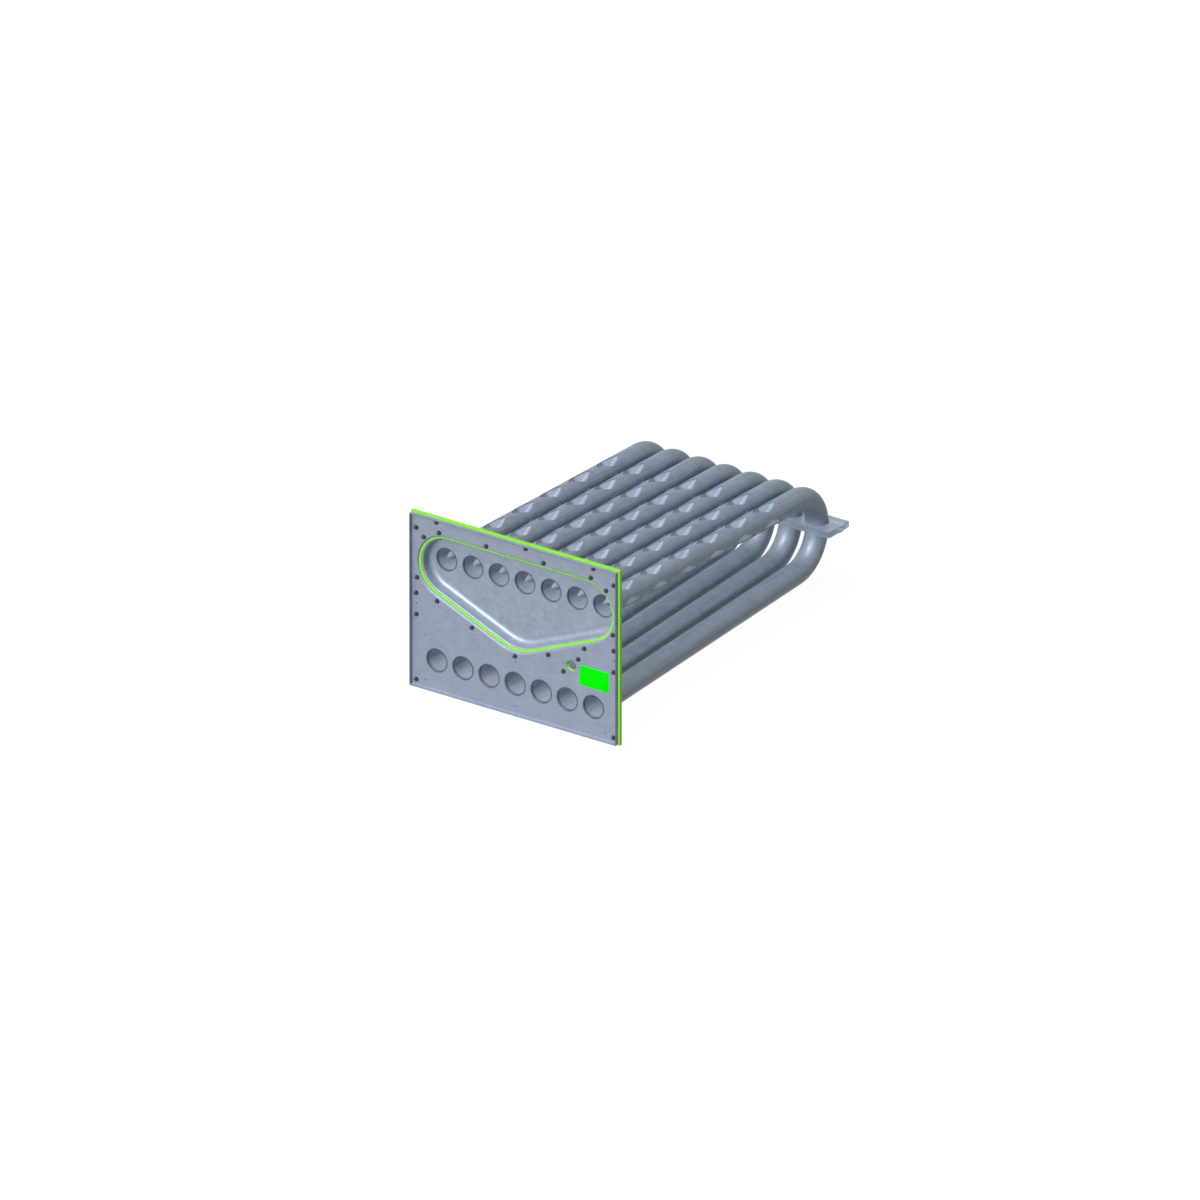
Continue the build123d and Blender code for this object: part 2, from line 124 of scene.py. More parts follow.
def maths(tree: Tree, operation: str, *terms: Given) -> Socket:
    """Result of a Math node on one to three numbers or sockets."""
    return add(tree, "ShaderNodeMath", dict(enumerate(terms)), operation=operation).outputs[0]


def rise(tree: Tree, value: Given, low_mm: float, high_mm: float) -> Socket:
    """Nought at the first length and one at the second, with an even slope between them."""
    ends = {1: low_mm * MM, 2: high_mm * MM}
    return add(tree, "ShaderNodeMapRange", {0: value} | ends).outputs[0]


def length_of(tree: Tree, first: Given, second: Given) -> Socket:
    """Length of a line from its two parts at right angles."""
    squares = [maths(tree, "MULTIPLY", part, part) for part in (first, second)]
    return maths(tree, "SQRT", maths(tree, "ADD", *squares))


def blank(name: str) -> bpy.types.Material:
    """Make an empty node material.

    Args:
        name: the material's name

    Returns:
        The material, with no nodes in its tree
    """
    made = bpy.data.materials.new(name)
    made.use_nodes = True
    made.node_tree.nodes.clear()
    return made


@dataclass(frozen=True)
class SteelFinish:
    """Bare metal surface: rolling lines, a faint cloudy spangle and satin gloss.

    The coat of hot-dip aluminised sheet is a thin aluminium and silicon layer. To the eye
    it is a pale blue-grey satin, cloudier than polished metal, with fine lines along the
    way the strip was rolled. The real lines are about 0.3 mm apart, too fine to show, so
    they are drawn coarser.
    """

    name: str
    light: str
    dark: str
    metallic: float
    gloss: tuple[float, float]
    grain: Grain = Grain.SIDEWAYS
    line_mm: float = 3.0
    cloud_mm: float = 26.0
    bump_mm: float = 0.02
    specular: float = 0.5
    bump_strength: float = 0.6
    tone_span: tuple[float, float] = (0.35, 0.65)
    gloss_span: tuple[float, float] = (0.3, 0.7)

    def surface(self, tree: Tree) -> Socket:
        """Point of the surface that the rolling lines are drawn on, slow along the lines.

        Args:
            tree: the material's node tree

        Returns:
            A vector socket in metres
        """
        place = add(tree, "ShaderNodeTexCoord").outputs["Object"]
        return add(
            tree, "ShaderNodeVectorMath", {0: place, 1: self.grain.value}, operation="MULTIPLY"
        ).outputs[0]

    def marks_and_painted_light(self, tree: Tree) -> tuple[Given, Given]:
        """Factor on the colour and step in roughness, from tool marks and painted light; none here.
        """
        return (1.0, 1.0, 1.0), 0.0

    def material(self) -> bpy.types.Material:
        """Build the finish as a node material.

        Returns:
            The new material
        """
        made = blank(self.name)
        tree = made.node_tree
        place = add(tree, "ShaderNodeTexCoord").outputs["Object"]
        lines = add(
            tree,
            "ShaderNodeTexNoise",
            {"Vector": self.surface(tree), "Scale": per_metre(self.line_mm), "Detail": 3.0},
        ).outputs["Fac"]
        clouds = add(
            tree,
            "ShaderNodeTexNoise",
            {"Vector": place, "Scale": per_metre(self.cloud_mm), "Detail": 4.0, "Roughness": 0.6},
        ).outputs["Fac"]
        mixed = maths(tree, "MULTIPLY", maths(tree, "ADD", lines, clouds), 0.5)
        ends = (linear(self.dark), linear(self.light))
        tone = add(
            tree, "ShaderNodeValToRGB", {0: mixed}, ramp=list(zip(self.tone_span, ends))
        ).outputs["Color"]
        span = dict(enumerate(self.gloss_span + self.gloss, start=1))
        rough = add(tree, "ShaderNodeMapRange", {0: mixed} | span).outputs[0]
        factor, step = self.marks_and_painted_light(tree)
        tone = add(
            tree, "ShaderNodeVectorMath", {0: tone, 1: factor}, operation="MULTIPLY"
        ).outputs[0]
        rough = maths(tree, "ADD", rough, step)
        bump = add(
            tree,
            "ShaderNodeBump",
            {"Height": lines, "Distance": self.bump_mm * MM, "Strength": self.bump_strength},
        ).outputs[0]
        shader = add(
            tree,
            "ShaderNodeBsdfPrincipled",
            {
                "Base Color": tone,
                "Metallic": self.metallic,
                "Roughness": rough,
                "Specular IOR Level": self.specular,
                "Normal": bump,
            },
        )
        add(tree, "ShaderNodeOutputMaterial", {0: shader.outputs[0]})
        return made


@dataclass(frozen=True)
class SheetFinish(SteelFinish):
    """Aluminised sheet, cut after it was coated.

    The cut edge shows the bare steel of the core, so it is darker and duller than the
    faces. The cut edge is what lies in front of a plane across the part.
    """

    cut_y_mm: float = 0.0
    cut_shade: float = 0.45
    cut_dulling: float = 0.15

    def marks_and_painted_light(self, tree: Tree) -> tuple[Given, Given]:
        """Darken and roughen the cut edge.

        Args:
            tree: the material's node tree

        Returns:
            Factor on the colour, and step in roughness
        """
        place = add(tree, "ShaderNodeTexCoord").outputs["Object"]
        depth = add(tree, "ShaderNodeSeparateXYZ", {0: place}).outputs["Y"]
        cut = maths(tree, "LESS_THAN", depth, self.cut_y_mm * MM)
        factor = maths(tree, "MULTIPLY_ADD", cut, -self.cut_shade, 1.0)
        return factor, maths(tree, "MULTIPLY", cut, self.cut_dulling)


@dataclass(frozen=True)
class TubeLine:
    """Centreline of a folded tube: two sloping passes and a half-turn between them.

    The lower pass ends at the mouth's plane and the upper one at the outlet's.
    """

    radius_mm: float
    mouth_y_mm: float
    outlet_y_mm: float
    bend_y_mm: float
    bend_z_mm: float
    bend_radius_mm: float
    pass_slope_deg: float
    pitch_mm: float


@dataclass(frozen=True)
class TubeSpot:
    """Sockets with a point's place on its tube, in metres."""

    x: Socket
    across: Socket
    above: Socket
    away: Socket
    along: Socket
    past: Socket
    inward: Socket
    outside: Socket

    @classmethod
    def of(cls, tree: Tree, line: TubeLine) -> "TubeSpot":
        """Measure a point from its tube's own centreline.

        In front of the bend's centre the distance outward is the height above or below
        that centre, and behind it the distance from it. Less the bend's radius, and less
        the slope's share on the straight passes, it is the height above the centreline.
        The distance along is the depth on a pass, and the arc's length on the bend.

        Args:
            tree: the material's node tree
            line: the centreline

        Returns:
            Across and above the centreline, away from it, along it, past the bend's
            start, inward from the pass's open end, and a unitless one that is 1 on the
            outside and 0 in the bore
        """
        place = add(tree, "ShaderNodeTexCoord").outputs
        x, y, z = add(tree, "ShaderNodeSeparateXYZ", {0: place["Object"]}).outputs
        half = line.pitch_mm * MM / 2
        across = maths(tree, "WRAP", x, half, -half)
        past = maths(tree, "SUBTRACT", y, line.bend_y_mm * MM)
        behind = maths(tree, "MAXIMUM", past, 0.0)
        before = maths(tree, "MINIMUM", past, 0.0)
        over = maths(tree, "SUBTRACT", z, line.bend_z_mm * MM)
        out = length_of(tree, behind, over)
        slope = math.tan(math.radians(line.pass_slope_deg))
        level = maths(tree, "MULTIPLY_ADD", before, slope, out)
        above = maths(tree, "SUBTRACT", level, line.bend_radius_mm * MM)
        turn = maths(tree, "ARCTAN2", behind, maths(tree, "ABSOLUTE", over))
        along = maths(tree, "MULTIPLY_ADD", turn, -line.bend_radius_mm * MM, before)
        lean = maths(tree, "DIVIDE", above, out)
        spoke = add(
            tree,
            "ShaderNodeCombineXYZ",
            {
                0: across,
                1: maths(tree, "MULTIPLY", lean, behind),
                2: maths(tree, "MULTIPLY", lean, over),
            },
        ).outputs[0]
        facing = add(
            tree, "ShaderNodeVectorMath", {0: spoke, 1: place["Normal"]}, operation="DOT_PRODUCT"
        ).outputs["Value"]
        outside = maths(tree, "GREATER_THAN", facing, 0.0)
        upper = maths(tree, "GREATER_THAN", over, 0.0)
        further = (line.outlet_y_mm - line.mouth_y_mm) * MM
        end = maths(tree, "MULTIPLY_ADD", upper, further, line.mouth_y_mm * MM)
        inward = maths(tree, "SUBTRACT", y, end)
        away = length_of(tree, across, above)
        return cls(x, across, above, away, along, past, inward, outside)


@dataclass(frozen=True)
class TubeFinish(SteelFinish):
    """Aluminised tube, roll-formed from strip: its lines follow the tube round the bend.

    The press that crimps the tube leaves the dents' faces smoother. Their paler colour and
    the bright line down each keel are painted highlights, and the darker crease round each
    dent is painted shade. The bending tools leave a faint ring where the bend begins, the
    flaring tool a dull dark lip, and the welding of the strip a thin dark seam along one
    side. The bore's colour is lifted with painted light and made a little less blue than
    the outside.
    """

    line: TubeLine = TubeLine(26.1, 0.0, 0.0, 0.0, 0.0, 88.9, 2.0, 69.85)
    # Painted light: a painted highlight on the dents' faces, another down each keel, and painted
    # shade in the crease round each dent.
    face_painted_highlight: float = 0.22
    keel_painted_highlight: float = 0.16
    crease_painted_shade: float = 0.55
    bend_ring: float = 0.2
    lip: float = 0.7
    seam: float = 0.2
    # Painted light: a gain on the bore's colour that lifts it, with the least on blue.
    bore_painted_light: tuple[float, float, float] = (0.49, 0.4, 0.33)
    smoothing: float = 0.03
    drawn_out: float = 0.05
    crease_mm: tuple[float, float] = (0.3, 0.8)
    face_mm: tuple[float, float] = (1.0, 3.4)
    keel_mm: tuple[float, float] = (2.2, 1.2)
    ring_mm: tuple[float, float] = (1.7, 0.5)
    lip_mm: tuple[float, float] = (4.5, 2.5)
    seam_mm: tuple[float, float] = (0.9, 0.4)

    def surface(self, tree: Tree) -> Socket:
        """Point unrolled along the tube: across, above the centreline, and slowly along it.

        Args:
            tree: the material's node tree

        Returns:
            A vector socket in metres
        """
        spot = TubeSpot.of(tree, self.line)
        slow = maths(tree, "MULTIPLY", spot.along, self.drawn_out)
        return add(tree, "ShaderNodeCombineXYZ", {0: spot.x, 1: spot.above, 2: slow}).outputs[0]

    def dents(self, tree: Tree, spot: TubeSpot) -> tuple[Socket, Socket, Socket]:
        """Find the dents' creases, faces and keels.

        A point of the outside is in a dent where it is nearer to the centreline than the
        tube's radius, and on the crease where it is only a little nearer. The keels lie on
        three spokes, so a point's distance from the next keel is its distance from the
        centreline times the sine of its angle from that spoke.

        Args:
            tree: the material's node tree
            spot: the point's place on its tube

        Returns:
            Share of crease, face and keel, each from 0 to 1
        """
        depth = maths(tree, "SUBTRACT", self.line.radius_mm * MM, spot.away)
        begun = maths(tree, "MULTIPLY", rise(tree, depth, *self.crease_mm), spot.outside)
        deep = rise(tree, depth, *self.face_mm)
        face = maths(tree, "MULTIPLY", begun, deep)
        crease_painted_shade = maths(tree, "SUBTRACT", begun, face)
        angle = maths(tree, "ARCTAN2", spot.across, spot.above)
        third = math.radians(60)
        from_spoke = maths(tree, "WRAP", angle, third, -third)
        beside = maths(tree, "MULTIPLY", maths(tree, "SINE", from_spoke), spot.away)
        near = rise(tree, maths(tree, "ABSOLUTE", beside), *self.keel_mm)
        return crease_painted_shade, face, maths(tree, "MULTIPLY", face, near)

    def marks_and_painted_light(self, tree: Tree) -> tuple[Given, Given]:
        """Paint highlights on the dents' faces and keels, shade in creases, light in the bore;
        darken lips, the seam and the start of the bend.

        Args:
            tree: the material's node tree

        Returns:
            Factor on the colour, and step in roughness
        """
        spot = TubeSpot.of(tree, self.line)
        crease_painted_shade, face, keel_painted_highlight = self.dents(tree, spot)
        ring = rise(tree, maths(tree, "ABSOLUTE", spot.past), *self.ring_mm)
        ring = maths(tree, "MULTIPLY", ring, spot.outside)
        lip = rise(tree, spot.inward, *self.lip_mm)
        side = maths(tree, "LESS_THAN", spot.across, 0.0)
        seam = rise(tree, maths(tree, "ABSOLUTE", spot.above), *self.seam_mm)
        seam = maths(tree, "MULTIPLY", maths(tree, "MULTIPLY", seam, side), spot.outside)
        inside = maths(tree, "SUBTRACT", 1.0, spot.outside)
        factor = 1.0
        # The creases get painted shade, and the dents' faces and keels get painted highlights.
        for share, gain in (
            (crease_painted_shade, -self.crease_painted_shade),
            (face, self.face_painted_highlight),
            (keel_painted_highlight, self.keel_painted_highlight),
            (ring, -self.bend_ring),
            (seam, -self.seam),
        ):
            factor = maths(tree, "MULTIPLY_ADD", share, gain, factor)
        factor = maths(tree, "MULTIPLY", factor, maths(tree, "MULTIPLY_ADD", lip, -self.lip, 1.0))
        # Painted light lifts the colour of the bore, where the outside mask is nought.
        bore_painted_lift = add(
            tree,
            "ShaderNodeVectorMath",
            {0: inside, 1: self.bore_painted_light, 2: (1.0, 1.0, 1.0)},
            operation="MULTIPLY_ADD",
        ).outputs[0]
        factor = add(
            tree, "ShaderNodeVectorMath", {0: bore_painted_lift, "Scale": factor}, operation="SCALE"
        ).outputs[0]
        return factor, maths(tree, "MULTIPLY", face, -self.smoothing)


@dataclass(frozen=True)
class GasketFinish:
    """Die-cut fibre and rubber gasket sheet: matt, even in colour, with a fine pressed grain.

    The grain of the real sheet is about 0.5 mm, too fine to show, so it is drawn coarser.
    The small holes are punched through it with the panel's, and their walls are darkened
    with painted shade, so that they look black from the front.
    """

    name: str = "fibre_gasket_die_cut"
    light: str = "#9AF840"
    dark: str = "#84E22E"
    grain_mm: float = 2.2
    bump_mm: float = 0.15
    bump_strength: float = 0.7
    tone_span: tuple[float, float] = (0.35, 0.6)
    gloss: tuple[float, float] = (0.62, 0.82)
    ior: float = 1.5
    punched: tuple[tuple[float, float], ...] = ()
    # Reach, depth and strength of the painted shade on the walls of the punched holes.
    punched_reach_mm: float = 2.0
    punched_back_mm: float = 8.3
    hole_painted_shade: float = 0.93

    def marks_and_painted_light(self, tree: Tree) -> Socket:
        """Factor on the colour that paints shade on the walls of the punched holes.

        Args:
            tree: the material's node tree

        Returns:
            One on the sheet, and less within reach of a hole's axis in front of the back
        """
        place = add(tree, "ShaderNodeTexCoord").outputs["Object"]
        x, y, z = add(tree, "ShaderNodeSeparateXYZ", {0: place}).outputs
        # Painted shade: the sheet is darkened near each hole's axis, in front of its back.
        within = 0.0
        for hole_x, hole_z in self.punched:
            across = maths(tree, "SUBTRACT", x, hole_x * MM)
            above = maths(tree, "SUBTRACT", z, hole_z * MM)
            near = maths(
                tree, "LESS_THAN", length_of(tree, across, above), self.punched_reach_mm * MM
            )
            within = maths(tree, "MAXIMUM", within, near)
        front = maths(tree, "LESS_THAN", y, (PANEL_FRONT_Y + self.punched_back_mm) * MM)
        within = maths(tree, "MULTIPLY", within, front)
        return maths(tree, "MULTIPLY_ADD", within, -self.hole_painted_shade, 1.0)

    def material(self) -> bpy.types.Material:
        """Build the finish as a node material.

        Returns:
            The new material
        """
        made = blank(self.name)
        tree = made.node_tree
        place = add(tree, "ShaderNodeTexCoord").outputs["Object"]
        grain = add(
            tree,
            "ShaderNodeTexNoise",
            {"Vector": place, "Scale": per_metre(self.grain_mm), "Detail": 5.0, "Roughness": 0.65},
        ).outputs["Fac"]
        ends = (linear(self.dark), linear(self.light))
        tone = add(
            tree, "ShaderNodeValToRGB", {0: grain}, ramp=list(zip(self.tone_span, ends))
        ).outputs["Color"]
        tone = add(
            tree,
            "ShaderNodeVectorMath",
            {0: tone, "Scale": self.marks_and_painted_light(tree)},
            operation="SCALE",
        ).outputs[0]
        span = dict(enumerate(self.gloss, start=3))
        rough = add(tree, "ShaderNodeMapRange", {0: grain} | span).outputs[0]
        bump = add(
            tree,
            "ShaderNodeBump",
            {"Height": grain, "Distance": self.bump_mm * MM, "Strength": self.bump_strength},
        ).outputs[0]
        shader = add(
            tree,
            "ShaderNodeBsdfPrincipled",
            {"Base Color": tone, "Roughness": rough, "IOR": self.ior, "Normal": bump},
        )
        add(tree, "ShaderNodeOutputMaterial", {0: shader.outputs[0]})
        return made


@dataclass(frozen=True)
class LabelFinish:
    """Printed polyester label stock, left blank: saturated green under a thin satin film."""

    name: str = "polyester_label_film"
    colour: str = "#00FF00"
    dark: str = "#00F900"
    ripple_mm: float = 9.0
    bump_mm: float = 0.02
    bump_strength: float = 0.5
    tone_span: tuple[float, float] = (0.4, 0.6)
    gloss: tuple[float, float] = (0.34, 0.46)
    ior: float = 1.5
    specular: float = 0.06

    def material(self) -> bpy.types.Material:
        """Build the finish as a node material.

        Returns:
            The new material
        """
        made = blank(self.name)
        tree = made.node_tree
        place = add(tree, "ShaderNodeTexCoord").outputs["Object"]
        ripple = add(
            tree,
            "ShaderNodeTexNoise",
            {"Vector": place, "Scale": per_metre(self.ripple_mm), "Detail": 2.0},
        ).outputs["Fac"]
        ends = (linear(self.dark), linear(self.colour))
        tone = add(
            tree, "ShaderNodeValToRGB", {0: ripple}, ramp=list(zip(self.tone_span, ends))
        ).outputs["Color"]
        span = dict(enumerate(self.gloss, start=3))
        rough = add(tree, "ShaderNodeMapRange", {0: ripple} | span).outputs[0]
        bump = add(
            tree,
            "ShaderNodeBump",
            {"Height": ripple, "Distance": self.bump_mm * MM, "Strength": self.bump_strength},
        ).outputs[0]
        shader = add(
            tree,
            "ShaderNodeBsdfPrincipled",
            {
                "Base Color": tone,
                "Roughness": rough,
                "IOR": self.ior,
                "Specular IOR Level": self.specular,
                "Normal": bump,
            },
        )
        add(tree, "ShaderNodeOutputMaterial", {0: shader.outputs[0]})
        return made


def dress_nodes(names: tuple[str, ...], material: bpy.types.Material) -> None:
    """Give a finish to CAD nodes where they stand.

    Args:
        names: the nodes' names
        material: the finish
    """
    for name in names:
        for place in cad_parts[name].material_slots:
            place.material = material
        LOG.info("%s: %s", name, material.name)


@dataclass
class VestPanel:
    """Vest panel: a sheet pan with its rim turned forward, and the blank label on its face."""

    rim_depth_mm: float = 10.67
    cut_margin_mm: float = 0.1

    def dress(self) -> None:
        """Finish the sheet, its cut rim and the label."""
        steel = SheetFinish(
            "aluminised_steel_sheet_rolled",
            "#9DA8BA",
            "#8E9BAC",
            0.1,
            (0.42, 0.54),
            specular=0.15,
            cut_y_mm=PANEL_FRONT_Y - self.rim_depth_mm + self.cut_margin_mm,
        )
        dress_nodes(("vest_panel",), steel.material())
        dress_nodes(("label_plate",), LabelFinish().material())


@dataclass
class VestGasket:
    """One gasket sheet behind the whole panel, with a tongue round the V-shaped opening.

    The pilot holes' places are across from the panel's middle and up from the part's
    lowest edge.
    """

    pilot_row_x_mm: float = 240.7
    pilot_rows_mm: tuple[float, float] = (128.84, 21.1)
    other_pilots_mm: tuple[tuple[float, float], ...] = (
        (-264.2, 201.34),
        (264.2, 201.34),
        (129.0, 160.84),
        (170.4, 160.84),
    )

    def dress(self) -> None:
        """Finish the sheet, with painted shade in its punched holes."""
        end = self.pilot_row_x_mm
        rows = tuple((x, z) for z in self.pilot_rows_mm for x in (-end, 0.0, end))
        gasket = GasketFinish(punched=rows + self.other_pilots_mm)
        dress_nodes(("vest_gasket",), gasket.material())


@dataclass
class CollectorPan:
    """Deep-drawn pan that gathers the ends of the upper passes.

    Drawing stretches the coat, so it is glossier than the panel and its lines run no one
    way.
    """

    stretch_mm: float = 12.0

    def dress(self) -> None:
        """Finish the pan."""
        steel = SteelFinish(
            "aluminised_steel_deep_drawn",
            "#9DA9B8",
            "#8D99A7",
            0.2,
            (0.42, 0.52),
            Grain.NONE,
            self.stretch_mm,
            bump_mm=0.006,
            specular=0.2,
        )
        dress_nodes(("collector_pan",), steel.material())


@dataclass
class TubeBank:
    """Seven folded tubes, each two sloping passes joined by one bend."""

    count: int = 7
    pitch_mm: float = 69.85
    radius_mm: float = 26.1
    bend_depth_mm: float = 769.1
    bend_height_mm: float = -19.56
    bend_radius_mm: float = 88.9
    pass_slope_deg: float = 2.0
    outlet_depth_mm: float = 38.1

    def dress(self) -> None:
        """Finish the tubes along their own centrelines."""
        line = TubeLine(
            self.radius_mm,
            PANEL_FRONT_Y,
            PANEL_FRONT_Y + self.outlet_depth_mm,
            PANEL_FRONT_Y + self.bend_depth_mm,
            PANEL_CENTRE_Z + self.bend_height_mm,
            self.bend_radius_mm,
            self.pass_slope_deg,
            self.pitch_mm,
        )
        steel = TubeFinish(
            "aluminised_steel_tube_roll_formed",
            "#95A1B0",
            "#828E9D",
            0.2,
            (0.42, 0.52),
            line_mm=4.0,
            bump_mm=0.006,
            specular=0.15,
            line=line,
        )
        names = tuple(f"heat_tube_{i}" for i in range(1, self.count + 1))
        dress_nodes(names, steel.material())


@dataclass
class RearBracket:
    """One folded sheet, with its two leaves round the tube bends."""

    front_depth_mm: float = 817.11
    cut_margin_mm: float = 0.1

    def dress(self) -> None:
        """Finish the sheet and its cut front edges."""
        steel = SheetFinish(
            "aluminised_steel_sheet_folded",
            "#9DA9B7",
            "#8F9BA9",
            0.2,
            (0.36, 0.48),
            cut_y_mm=PANEL_FRONT_Y + self.front_depth_mm + self.cut_margin_mm,
            cut_shade=0.3,
        )
        dress_nodes(("rear_bracket",), steel.material())


@dataclass
class ScrewSet:
    """Like sheet-metal screws through panel and gasket, with the thread on their free ends.

    Places are across from the panel's middle and up from the part's lowest edge, and
    depths are behind the panel's front face.
    """

    group: str
    places: tuple[tuple[float, float], ...]
    start_mm: float = 8.45
    end_mm: float = 13.9
    pitch_mm: float = 1.4
    root_mm: float = 2.0
    crest_mm: float = 2.6
    profile_turns: tuple[float, float] = (0.4, 0.09)
    run_out_turns: float = 0.5
    least_share: float = 0.08
    steps_a_turn: int = 20

    def thread(self) -> tuple[np.ndarray, np.ndarray]:
        """Work out the right-hand threads of the whole set.

        A four-cornered profile is carried along a helix. At a share of a turn, a corner
        stands at that angle round the screw's axis, and its depth is the pitch times the
        turns so far and its own offset in turns. Its radius is the root's, plus its own
        height.
        Offset and height shrink over the first and the last half turn.

        Returns:
            Points in metres, and faces of four corners each, as rows of point numbers
        """
        turns = (self.end_mm - self.start_mm) / self.pitch_mm
        steps = round(turns * self.steps_a_turn)
        turn = np.linspace(0.0, turns, steps + 1)[None, :, None]
        shrink = np.minimum(turn, turns - turn) / self.run_out_turns
        shrink = np.clip(shrink, self.least_share, 1.0)
        foot, top = self.profile_turns
        offset = np.array([-foot, -top, top, foot])[None, None, :]
        height = np.array([0.0, 1.0, 1.0, 0.0])[None, None, :]
        radius = self.root_mm + (self.crest_mm - self.root_mm) * height * shrink
        depth = self.start_mm + self.pitch_mm * (turn + offset * shrink)
        centre = np.array(self.places)[:, None, None, :]
        spin = 2 * math.pi * turn
        x = centre[..., 0] + radius * np.sin(spin)
        z = centre[..., 1] + radius * np.cos(spin)
        y = PANEL_FRONT_Y + depth + 0 * x
        points = np.stack([x, y, z], axis=-1).reshape(-1, 3) * MM

        number = np.arange(points.shape[0]).reshape(len(self.places), steps + 1, 4)
        here, there = number[:, :-1], number[:, 1:]
        walls = np.stack(
            [there, np.roll(there, -1, axis=2), np.roll(here, -1, axis=2), here], axis=-1
        ).reshape(-1, 4)
        caps = np.concatenate([number[:, 0], number[:, -1, ::-1]])
        return points, np.concatenate([walls, caps])

    def build(self) -> bpy.types.Object:
        """Make the threads of the set as one piece.

        Returns:
            The new piece
        """
        points, faces = self.thread()
        mesh = bpy.data.meshes.new(f"threads_{self.group}")
        mesh.from_pydata(points.tolist(), [], faces.tolist())
        piece = bpy.data.objects.new(f"threads_{self.group}", mesh)
        bpy.context.scene.collection.objects.link(piece)
        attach(piece, "root")
        return piece

    def dress(self, material: bpy.types.Material) -> None:
        """Finish the heads and shanks, and the threads with them.

        Args:
            material: the finish that all the screws share
        """
        dress_nodes((f"screws_{self.group}",), material)
        piece = self.build()
        piece.data.materials.append(material)
        LOG.info("%s: %s", piece.name, material.name)


@dataclass
class Screws:
    """All the hex washer-head screws: zinc-plated carbon steel with a dark passivation.

    To the eye they are near black, with a soft gleam on the flat of each head.
    """

    flange_back_mm: float = 9.7

    def sets(self) -> tuple[ScrewSet, ...]:
        """Lay out the four groups of screws.

        Returns:
            The groups; the threads of the collector pan's start behind its flange
        """
        side_heights = (383.88, 225.94, 174.34, 16.6)
        return (
            ScrewSet("sides", tuple((x, z) for x in (-264.2, 264.2) for z in side_heights)),
            ScrewSet("top", ((-210.0, 410.07), (29.0, 410.07), (210.0, 410.07))),
            ScrewSet(
                "collector",
                (
                    (-76.7, 388.19),
                    (76.7, 388.19),
                    (-203.12, 386.63),
                    (203.12, 386.63),
                    (-243.94, 366.19),
                    (243.94, 366.19),
                    (-262.0, 263.72),
                    (262.0, 263.72),
                    (-208.5, 220.31),
                    (-115.0, 181.0),
                    (0.0, 142.61),
                    (89.0, 170.08),
                    (185.5, 210.64),
                ),
                start_mm=self.flange_back_mm,
            ),
            ScrewSet("port", ((169.3, 180.44), (130.1, 141.24))),
        )

    def dress(self) -> None:
        """Finish every group with one plating."""
        plating = SteelFinish(
            "carbon_steel_zinc_plated", "#4C525B", "#383C44", 0.8, (0.3, 0.42), Grain.NONE, 1.5, 4.0
        ).material()
        for group in self.sets():
            group.dress(plating)


@dataclass(frozen=True)
class Lamp:
    """A far lamp: its strength, its disc's width in degrees, its shadows and what it lights.

    A lamp that only gleams shows in gloss and adds nothing to the colour of what it meets.
    """

    name: str
    strength: float
    softness_deg: float
    shadow: bool
    gleam_only: bool = False


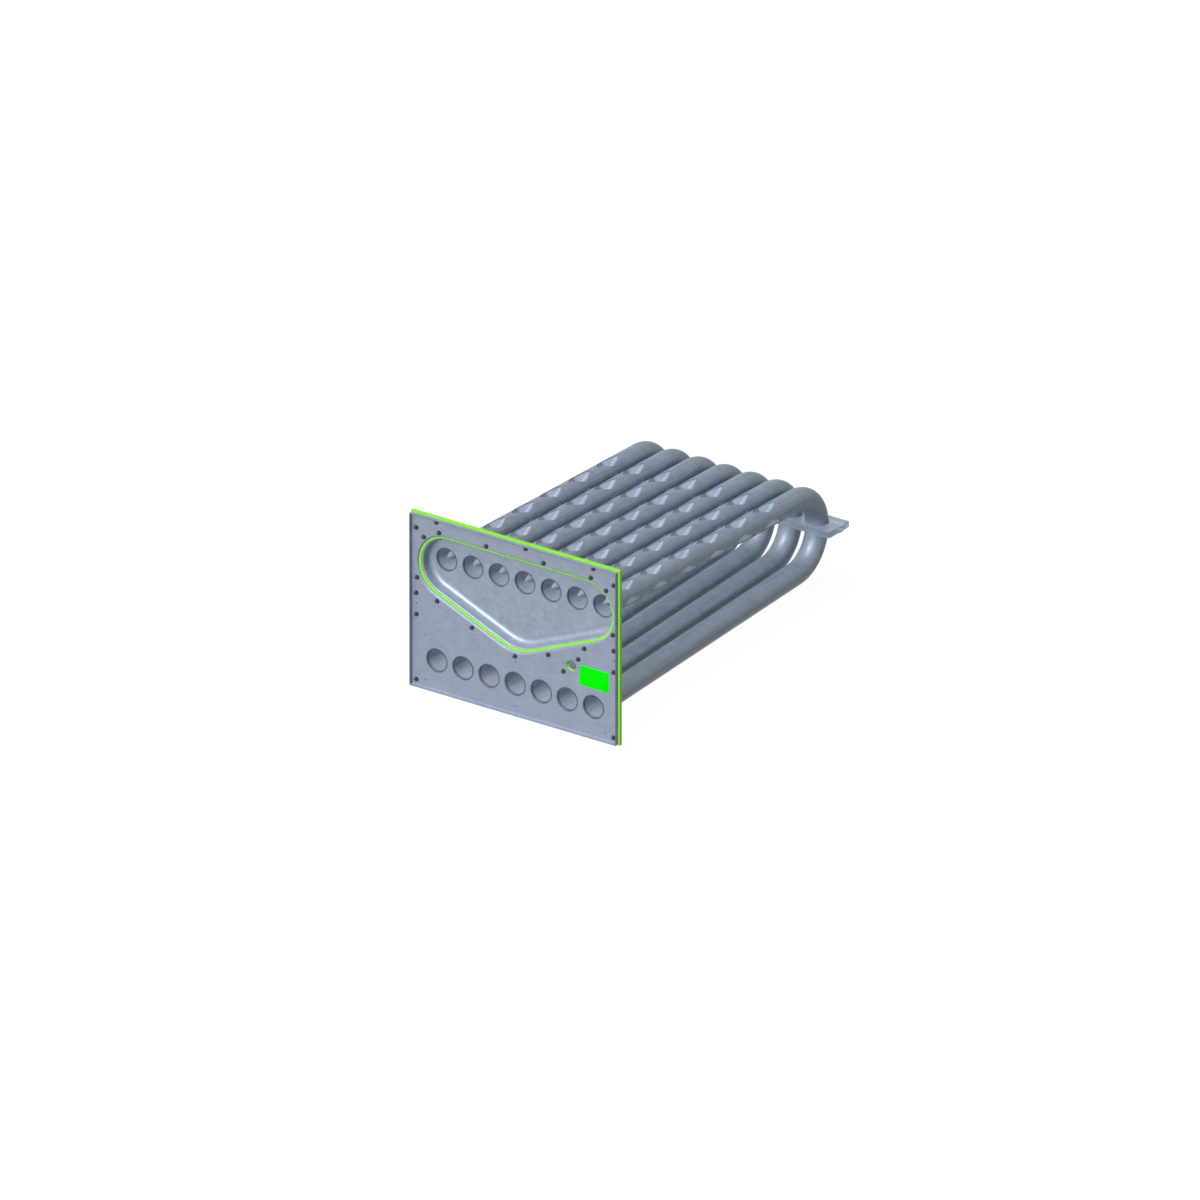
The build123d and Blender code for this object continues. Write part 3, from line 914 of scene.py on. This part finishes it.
@dataclass
class Studio:
    """Plain pale floor, soft lamps from the front and above, even surroundings, the camera."""

    floor_reach: float = 60.0
    floor_drop: float = 0.0004
    floor_colour: str = "#AAAAAA"
    floor_lift: float = 0.68
    lit: tuple[Lamp, ...] = (
        Lamp("key_lamp", 0.7, 45.0, True),
        Lamp("fill_lamp", 2.7, 16.0, False),
        Lamp("gleam_lamp", 3.4, 60.0, False, gleam_only=True),
    )
    lit_from: tuple[float, float, float] = (-0.05, -0.66, 0.75)
    ambient: float = 0.08
    aim: tuple[float, float, float] = (0.0, -0.119835, 0.154496)
    azimuth_deg: float = 35.0
    elevation_deg: float = 25.0
    view_width: float = 2.6357
    lens_mm: float = 1600.0
    sensor_mm: float = 36.0

    def seen(self, tree: Tree) -> Socket:
        """One for camera, glossy and transmission rays, and nought for the light itself.

        Args:
            tree: the node tree that asks

        Returns:
            The socket with the answer
        """
        rays = add(tree, "ShaderNodeLightPath").outputs
        direct = maths(tree, "MAXIMUM", rays["Is Camera Ray"], rays["Is Glossy Ray"])
        return maths(tree, "MAXIMUM", direct, rays["Is Transmission Ray"])

    def floor(self) -> None:
        """Lay the floor: one wide flat sheet, lifted to white for the eye and for reflections."""
        reach = self.floor_reach
        corners = [(-reach, -reach), (reach, -reach), (reach, reach), (-reach, reach)]
        mesh = bpy.data.meshes.new("studio_floor")
        mesh.from_pydata([(x, y, -self.floor_drop) for x, y in corners], [], [(0, 1, 2, 3)])
        laid = bpy.data.objects.new("studio_floor", mesh)
        bpy.context.scene.collection.objects.link(laid)
        made = blank("studio_paper")
        tree = made.node_tree
        paper = add(
            tree, "ShaderNodeBsdfDiffuse", {"Color": linear(self.floor_colour)}
        ).outputs[0]
        lift = maths(tree, "MULTIPLY", self.seen(tree), self.floor_lift)
        glow = add(
            tree, "ShaderNodeEmission", {"Color": (1, 1, 1, 1), "Strength": lift}
        ).outputs[0]
        both = add(tree, "ShaderNodeAddShader", {0: paper, 1: glow}).outputs[0]
        add(tree, "ShaderNodeOutputMaterial", {0: both})
        mesh.materials.append(made)

    def surroundings(self) -> None:
        """White to the eye and in reflections, and a low even light on everything."""
        world = bpy.data.worlds.new("studio_room")
        bpy.context.scene.world = world
        world.use_nodes = True
        tree = world.node_tree
        tree.nodes.clear()
        strength = add(
            tree, "ShaderNodeMapRange", {0: self.seen(tree), 3: self.ambient, 4: 1.0}
        ).outputs[0]
        room = add(
            tree, "ShaderNodeBackground", {"Color": (1, 1, 1, 1), "Strength": strength}
        ).outputs[0]
        add(tree, "ShaderNodeOutputWorld", {0: room})

    def lamps(self) -> None:
        """Hang the lamps, all from one side, so that front and top get the same light.

        The key lamp casts the shadows. The fill lamp casts none, so it also reaches the
        lower passes and the bores. The gleam lamp is broad and shows in gloss alone: it
        gives the bends and the rolled edges their soft highlights.
        """
        for each in self.lit:
            lamp = bpy.data.lights.new(each.name, "SUN")
            lamp.energy = each.strength
            lamp.angle = math.radians(each.softness_deg)
            lamp.use_shadow = each.shadow
            hung = bpy.data.objects.new(each.name, lamp)
            bpy.context.scene.collection.objects.link(hung)
            hung.rotation_euler = Vector(self.lit_from).to_track_quat("Z", "Y").to_euler()
            hung.visible_diffuse = not each.gleam_only

    def camera(self) -> None:
        """Set the camera far off with a long lens, so that lines in depth stay parallel."""
        lens = bpy.data.cameras.new("camera")
        lens.lens = self.lens_mm
        lens.sensor_width = self.sensor_mm
        distance = self.view_width * self.lens_mm / self.sensor_mm
        lens.clip_start = 1.0
        lens.clip_end = distance * 3
        turn, tilt = math.radians(self.azimuth_deg), math.radians(self.elevation_deg)
        back = Vector(
            (math.sin(turn) * math.cos(tilt), -math.cos(turn) * math.cos(tilt), math.sin(tilt))
        )
        eye = bpy.data.objects.new("camera", lens)
        bpy.context.scene.collection.objects.link(eye)
        eye.location = Vector(self.aim) + back * distance
        eye.rotation_euler = (-back).to_track_quat("-Z", "Y").to_euler()
        bpy.context.scene.camera = eye

    def build(self) -> None:
        """Set up the whole studio."""
        self.floor()
        self.surroundings()
        self.lamps()
        self.camera()
        bpy.context.scene.view_settings.view_transform = "Standard"
        LOG.info("studio: floor, room, %d lamps and camera", len(self.lit))


def main() -> None:
    """Dress the heat exchanger sub-assembly by sub-assembly in its studio."""
    logging.basicConfig(level=logging.INFO, format="%(name)s: %(message)s")
    Studio().build()
    for assembly in (
        VestPanel(),
        VestGasket(),
        CollectorPan(),
        TubeBank(),
        RearBracket(),
        Screws(),
    ):
        assembly.dress()
        LOG.info("%s done", type(assembly).__name__)


if __name__ == "__main__":
    main()
